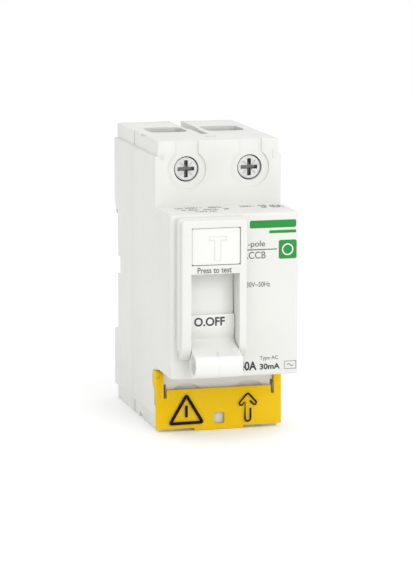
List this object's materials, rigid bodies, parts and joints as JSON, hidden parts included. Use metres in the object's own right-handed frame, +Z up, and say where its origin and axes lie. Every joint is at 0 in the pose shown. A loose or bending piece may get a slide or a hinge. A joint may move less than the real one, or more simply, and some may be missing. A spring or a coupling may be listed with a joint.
{
  "type": "residual current device",
  "caption": "Two-pole residual current device for a DIN rail: white housing, toggle, test button, clamp terminals and a hinged yellow terminal flap.",
  "frame": {"origin": "centre of the face that sits on the DIN rail", "axes": "+X to the right seen from the front, +Y into the depth towards the rail, +Z up"},
  "size_m": [0.036, 0.0747, 0.081],
  "materials": {
    "housing": "fine matt moulded thermoplastic",
    "control": "smooth satin moulded thermoplastic",
    "flap": "yellow moulded thermoplastic",
    "steel": "zinc-plated steel",
    "copper": "bare copper",
    "silver": "copper with a silver contact",
    "insulation": "coloured insulation sleeve",
    "relay": "black moulded plastic",
    "board": "solder-resist coated board",
    "core": "coated magnetic core",
    "resistor": "lacquered ceramic"
  },
  "bodies": {
    "housing": {"carrier_pin": "steel", "circuit_board": "board", "cover_screw_bottom": "steel", "cover_screw_top": "steel", "filter_capacitor": "insulation", "front_cover": "housing", "mechanism_frame": "steel", "primary_conductor_left": "insulation", "primary_conductor_right": "insulation", "rear_base": "housing", "relay_case": "relay", "terminal_bar_line_left": "copper", "terminal_bar_line_right": "copper", "terminal_bar_load_left": "copper", "terminal_bar_load_right": "copper", "test_button_spring": "steel", "test_contact": "copper", "test_resistor": "resistor", "toggle_bezel": "housing", "toggle_pin": "steel", "toroid_core": "core", "toroid_winding": "copper", "trip_lever_pin": "steel"},
    "toggle": {"toggle_lever": "control", "toggle_spring": "steel"},
    "link": {"toggle_link": "steel"},
    "contacts": {"contact_carrier": "relay", "moving_contact_left": "silver", "moving_contact_right": "silver"},
    "flap": {"terminal_flap": "flap"},
    "test": {"test_button": "control"},
    "plunger": {"relay_plunger": "steel"},
    "trip": {"trip_lever": "control"},
    "clip": {"rail_clip": "control"},
    "screw_line_left": {"terminal_screw_line_left": "steel"},
    "cage_line_left": {"clamp_cage_line_left": "steel"},
    "screw_line_right": {"terminal_screw_line_right": "steel"},
    "cage_line_right": {"clamp_cage_line_right": "steel"},
    "screw_load_left": {"terminal_screw_load_left": "steel"},
    "cage_load_left": {"clamp_cage_load_left": "steel"},
    "screw_load_right": {"terminal_screw_load_right": "steel"},
    "cage_load_right": {"clamp_cage_load_right": "steel"}
  },
  "joints": [
    {"name": "toggle_hinge", "type": "hinge", "parent": "housing", "child": "toggle", "pos_m": [0, -0.05, -0.0073], "axis": [-1, 0, 0], "range_deg": [0, 64]},
    {"name": "link_hinge", "type": "hinge", "parent": "toggle", "child": "link", "pos_m": [-0.00665, -0.046, -0.00775], "axis": [-1, 0, 0], "range_deg": [-66, 1]},
    {"name": "contact_hinge", "type": "hinge", "parent": "housing", "child": "contacts", "pos_m": [0, -0.027, -0.004], "axis": [-1, 0, 0], "range_deg": [0, 22.2]},
    {"name": "flap_hinge", "type": "hinge", "parent": "housing", "child": "flap", "pos_m": [0, -0.0432, -0.0257], "axis": [-1, 0, 0], "range_deg": [0, 85]},
    {"name": "test_press", "type": "slide", "parent": "housing", "child": "test", "axis": [0, 1, 0], "range_m": [0, 0.002], "stiffness_N_per_m": 600, "springref_m": -0.002, "deforming": ["test_button_spring"]},
    {"name": "plunger_slide", "type": "slide", "parent": "housing", "child": "plunger", "axis": [0, -1, 0], "range_m": [0, 0.0018], "stiffness_N_per_m": 10, "springref_m": -0.001},
    {"name": "trip_hinge", "type": "hinge", "parent": "housing", "child": "trip", "pos_m": [-0.0118, -0.0179, -0.02], "axis": [1, 0, 0], "range_deg": [0, 13.2]},
    {"name": "clip_slide", "type": "slide", "parent": "housing", "child": "clip", "axis": [0, 0, -1], "range_m": [0, 0.0035], "stiffness_N_per_m": 1500, "springref_m": -0.002},
    {"name": "screw_line_left_turn", "type": "hinge", "parent": "housing", "child": "screw_line_left", "pos_m": [-0.009, -0.0429, 0.0326], "axis": [0, 1, 0], "range_deg": [0, 1445]},
    {"name": "cage_line_left_slide", "type": "slide", "parent": "housing", "child": "cage_line_left", "axis": [0, -1, 0], "range_m": [0, 0.0032]},
    {"name": "screw_line_right_turn", "type": "hinge", "parent": "housing", "child": "screw_line_right", "pos_m": [0.009, -0.0429, 0.0326], "axis": [0, 1, 0], "range_deg": [0, 1445]},
    {"name": "cage_line_right_slide", "type": "slide", "parent": "housing", "child": "cage_line_right", "axis": [0, -1, 0], "range_m": [0, 0.0032]},
    {"name": "screw_load_left_turn", "type": "hinge", "parent": "housing", "child": "screw_load_left", "pos_m": [-0.009, -0.0429, -0.0326], "axis": [0, 1, 0], "range_deg": [0, 1445]},
    {"name": "cage_load_left_slide", "type": "slide", "parent": "housing", "child": "cage_load_left", "axis": [0, -1, 0], "range_m": [0, 0.0032]},
    {"name": "screw_load_right_turn", "type": "hinge", "parent": "housing", "child": "screw_load_right", "pos_m": [0.009, -0.0429, -0.0326], "axis": [0, 1, 0], "range_deg": [0, 1445]},
    {"name": "cage_load_right_slide", "type": "slide", "parent": "housing", "child": "cage_load_right", "axis": [0, -1, 0], "range_m": [0, 0.0032]}
  ],
  "couplings": [
    {"joint": "link_hinge", "follows": "toggle_hinge", "ratio": -1.002},
    {"joint": "contact_hinge", "follows": "toggle_hinge", "ratio": 0.34375},
    {"joint": "trip_hinge", "follows": "plunger_slide", "rad_per_m": 125},
    {"joint": "screw_line_left_turn", "follows": "cage_line_left_slide", "rad_per_m": 7854},
    {"joint": "screw_line_right_turn", "follows": "cage_line_right_slide", "rad_per_m": 7854},
    {"joint": "screw_load_left_turn", "follows": "cage_load_left_slide", "rad_per_m": 7854},
    {"joint": "screw_load_right_turn", "follows": "cage_load_right_slide", "rad_per_m": 7854}
  ]
}
